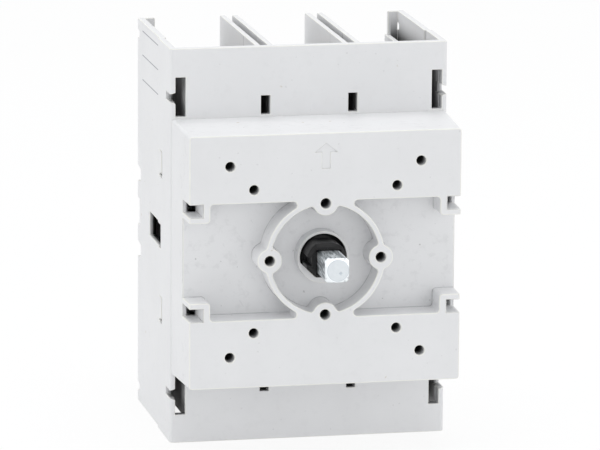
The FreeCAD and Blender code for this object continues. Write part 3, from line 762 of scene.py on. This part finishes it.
class OBJECT_OT_switch_clamps(bpy.types.Operator):
    """Makes the six clamp cages"""

    bl_idname = "object.switch_clamps"
    bl_label = "Clamp Cages"

    def execute(self, context):
        for end in ENDS:
            for pole in POLES:
                node = f"{end}_cage_{pole}"
                cage = as_object(merged_copy(node), f"{end}_clamp_{pole}")
                soften(cage, context.scene.switch_metal.edge * 2)
                dress(cage, node, "zinc_steel", "zinc_plate")
        return {"FINISHED"}


def screw_profile(middle, low, high, sizes):
    """Half the outline of a screw, from the tip's centre to the head's, in the plane above its axis."""
    head = (high.x - low.x) / 2
    crest = sizes.thread_radius
    root = crest - sizes.thread_depth
    seat = high.y - sizes.head_length
    points = [(0.0, low.y), (root - sizes.tip_edge, low.y)]
    y = low.y + sizes.pitch / 2
    while y + sizes.pitch < seat:
        points += [(root, y), (crest, y + sizes.pitch * 0.4), (crest, y + sizes.pitch * 0.6)]
        y += sizes.pitch
    break_edge = sizes.edge * 2
    points += [(root, y), (root, seat), (head - break_edge, seat), (head, seat + break_edge),
               (head, high.y - break_edge), (head - break_edge, high.y), (0.0, high.y)]
    return [Vector((middle.x, y, middle.z + r)) for r, y in points]


def terminal_screw(node, name, sizes):
    """A screw that fills its node's box, with thread crests and a cross slot in its head."""
    low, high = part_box(node)
    middle = (low + high) / 2
    bm = bmesh.new()
    points = [bm.verts.new(point) for point in screw_profile(middle, low, high, sizes)]
    edges = [bm.edges.new(pair) for pair in zip(points, points[1:])]
    bmesh.ops.spin(bm, geom=points + edges, cent=middle, axis=(0.0, 1.0, 0.0), dvec=(0.0, 0.0, 0.0),
                   angle=math.tau, steps=40, use_merge=True)
    bmesh.ops.remove_doubles(bm, verts=bm.verts, dist=0.000002)
    bmesh.ops.recalc_face_normals(bm, faces=bm.faces)
    screw = as_object(bm, name)
    # One slot runs across the whole head. The other is shorter and a little deeper.
    head = (high.x - low.x) / 2
    for across, along, deep in ((head + MM, sizes.slot_width / 2, sizes.slot_depth),
                                (sizes.slot_width / 2, head * 0.62, sizes.slot_depth * 1.2)):
        corners = [Vector((middle.x + i * across, high.y - deep, middle.z + j * along))
                   for i, j in ((-1, -1), (1, -1), (1, 1), (-1, 1))]
        cut_away(screw, prism(corners, deep + MM, "slot_cutter"))
    screw.data.shade_smooth()
    screw.data.set_sharp_from_angle(angle=math.radians(28))
    return screw


class OBJECT_OT_switch_screws(bpy.types.Operator):
    """Makes the six terminal screws with their threads and slots"""

    bl_idname = "object.switch_screws"
    bl_label = "Terminal Screws"

    def execute(self, context):
        for end in ENDS:
            for pole in POLES:
                node = f"{end}_screw_{pole}"
                screw = terminal_screw(node, f"{end}_clamp_screw_{pole}", context.scene.switch_metal)
                dress(screw, node, "zinc_steel", "zinc_plate")
        return {"FINISHED"}


class OBJECT_OT_switch_contacts(bpy.types.Operator):
    """Finishes the fixed contacts, the blades and their leaf springs"""

    bl_idname = "object.switch_contacts"
    bl_label = "Contacts"

    def execute(self, context):
        for pole in POLES:
            for end in ENDS:
                node = f"{end}_contact_{pole}"
                bar = as_object(merged_copy(node), f"{end}_contact_bar_{pole}")
                soften(bar, context.scene.switch_metal.edge * 1.4)
                dress(bar, node, "silver_copper", "contact_copper")
            for side in ("front", "rear"):
                repaint(f"blade_{pole}_{side}", "contact_copper")
                repaint(f"leaf_spring_{pole}_{side}", "spring_steel")
        return {"FINISHED"}


class OBJECT_OT_switch_slides(bpy.types.Operator):
    """Makes the rack and the contact carrier"""

    bl_idname = "object.switch_slides"
    bl_label = "Rack and Carrier"

    def execute(self, context):
        for node, name in (("rack_slide", "rack_moulding"), ("contact_carrier", "carrier_moulding")):
            slide = as_object(merged_copy(node), name)
            soften(slide, context.scene.switch_moulding.black_edge * 0.6)
            dress(slide, node, "black_plastic", "satin_black")
        repaint("snap_spring", "spring_steel")
        return {"FINISHED"}


def camera_place():
    """Where the camera stands and how it is turned: a little to the left of the switch and above it.

    Both follow from how the face's hole pattern looks through a long lens.
    """
    right = Vector((0.978746, -0.204992, 0.005885))
    down = Vector((-0.035858, -0.199320, -0.979278))
    ahead = Vector((0.201917, 0.958254, -0.202434))
    turned = Matrix((right, -down, -ahead)).transposed().to_4x4()
    return Matrix.Translation(Vector((-0.279724, -1.296614, 0.282785))) @ turned


def floor_finish():
    """A pale floor that keeps a soft shadow and shows white to the camera and in reflections."""
    finish = Finish("pale_floor")
    speckle = finish.blend(finish.noise(0.05, 2.0), (0.93, 0.93, 0.93, 1.0), (0.95, 0.95, 0.95, 1.0))
    matt = finish.node("ShaderNodeBsdfDiffuse", {}, {"Color": speckle}).field(0)
    white = finish.node("ShaderNodeEmission", {}, {"Color": WHITE, "Strength": 1.0}).field(0)
    share = 0.62 * finish.background_seen() + 0.25
    surface = finish.node("ShaderNodeMixShader", {}, {0: share, 1: matt, 2: white}).field(0)
    finish.node("ShaderNodeOutputMaterial", {}, {"Surface": surface})
    return finish.material


def room_light(strength):
    """Even light from all sides, from a room that looks white."""
    room = bpy.data.worlds.new("room")
    shader = Shader(room)
    even = {"Color": (0.97, 0.985, 1.0, 1.0), "Strength": strength}
    even = shader.node("ShaderNodeBackground", {}, even).field(0)
    white = shader.node("ShaderNodeBackground", {}, {"Color": WHITE, "Strength": 1.0}).field(0)
    values = {0: shader.background_seen(), 1: even, 2: white}
    surface = shader.node("ShaderNodeMixShader", {}, values).field(0)
    shader.node("ShaderNodeOutputWorld", {}, {"Surface": surface})
    return room


def area_lamp(name, place, width, power):
    """A large square lamp that faces the middle of the switch."""
    light = bpy.data.lights.new(name, "AREA")
    light.shape = "SQUARE"
    light.size = width
    light.energy = power
    lamp = bpy.data.objects.new(name, light)
    lamp.location = place
    lamp.rotation_euler = (Vector((0.0, 0.03, 0.0)) - Vector(place)).to_track_quat("-Z", "Y").to_euler()
    bpy.context.scene.collection.objects.link(lamp)


class OBJECT_OT_switch_stage(bpy.types.Operator):
    """Sets up the floor, the lamps, the room light and the camera"""

    bl_idname = "object.switch_stage"
    bl_label = "Stage"

    def execute(self, context):
        scene = context.scene
        sizes = scene.switch_studio
        bm = bmesh.new()
        bmesh.ops.create_grid(bm, x_segments=2, y_segments=2, size=sizes.floor_width / 2,
                              matrix=Matrix.Translation(Vector((0.0, 0.0, OBJECT_BOX[0][2]))))
        floor = as_object(bm, "floor")
        floor.data.materials.append(floor_finish())

        scene.world = room_light(sizes.room_light)
        area_lamp("top_lamp", (0.0, 0.1, 1.3), 1.0, sizes.top_light)
        area_lamp("left_lamp", (-1.3, 0.0, 0.25), 1.0, sizes.left_light)
        area_lamp("right_lamp", (1.2, -0.6, 0.5), 0.9, sizes.right_light)
        area_lamp("front_lamp", (0.35, -1.5, 0.30), 1.0, sizes.front_light)

        data = bpy.data.cameras.new("camera")
        data.sensor_width = 36.0
        data.lens = sizes.lens
        data.clip_end = 30.0
        camera = bpy.data.objects.new("camera", data)
        camera.matrix_world = camera_place()
        scene.collection.objects.link(camera)
        scene.camera = camera
        scene.view_settings.view_transform = "Standard"
        return {"FINISHED"}


OPERATORS = (OBJECT_OT_switch_cover, OBJECT_OT_switch_body, OBJECT_OT_switch_hub, OBJECT_OT_switch_shaft,
             OBJECT_OT_switch_clamps, OBJECT_OT_switch_screws, OBJECT_OT_switch_contacts,
             OBJECT_OT_switch_slides, OBJECT_OT_switch_stage)

GROUPS = {"switch_moulding": MouldingSizes, "switch_metal": MetalSizes,
          "switch_colours": FinishColours, "switch_studio": StudioSizes}


class VIEW3D_PT_switch(bpy.types.Panel):
    """Lists the switch's pieces and sizes."""

    bl_label = "Disconnect Switch"
    bl_idname = "VIEW3D_PT_switch"
    bl_space_type = "VIEW_3D"
    bl_region_type = "UI"
    bl_category = "Switch"

    def draw(self, context):
        for operator in OPERATORS:
            self.layout.operator(operator.bl_idname)
        for settings in GROUPS:
            group = getattr(context.scene, settings)
            box = self.layout.box()
            for name in group.bl_rna.properties.keys():
                if name not in ("rna_type", "name"):
                    box.prop(group, name)


def register():
    for settings, group in GROUPS.items():
        bpy.utils.register_class(group)
        setattr(bpy.types.Scene, settings, bpy.props.PointerProperty(type=group))
    for item in OPERATORS + (VIEW3D_PT_switch,):
        bpy.utils.register_class(item)


def unregister():
    for item in reversed(OPERATORS + (VIEW3D_PT_switch,)):
        bpy.utils.unregister_class(item)
    for settings, group in GROUPS.items():
        delattr(bpy.types.Scene, settings)
        bpy.utils.unregister_class(group)


def main():
    """Makes every piece and the stage."""
    register()
    for make in (bpy.ops.object.switch_cover, bpy.ops.object.switch_body, bpy.ops.object.switch_hub,
                 bpy.ops.object.switch_shaft, bpy.ops.object.switch_clamps, bpy.ops.object.switch_screws,
                 bpy.ops.object.switch_contacts, bpy.ops.object.switch_slides, bpy.ops.object.switch_stage):
        make()


if __name__ == "__main__":
    main()
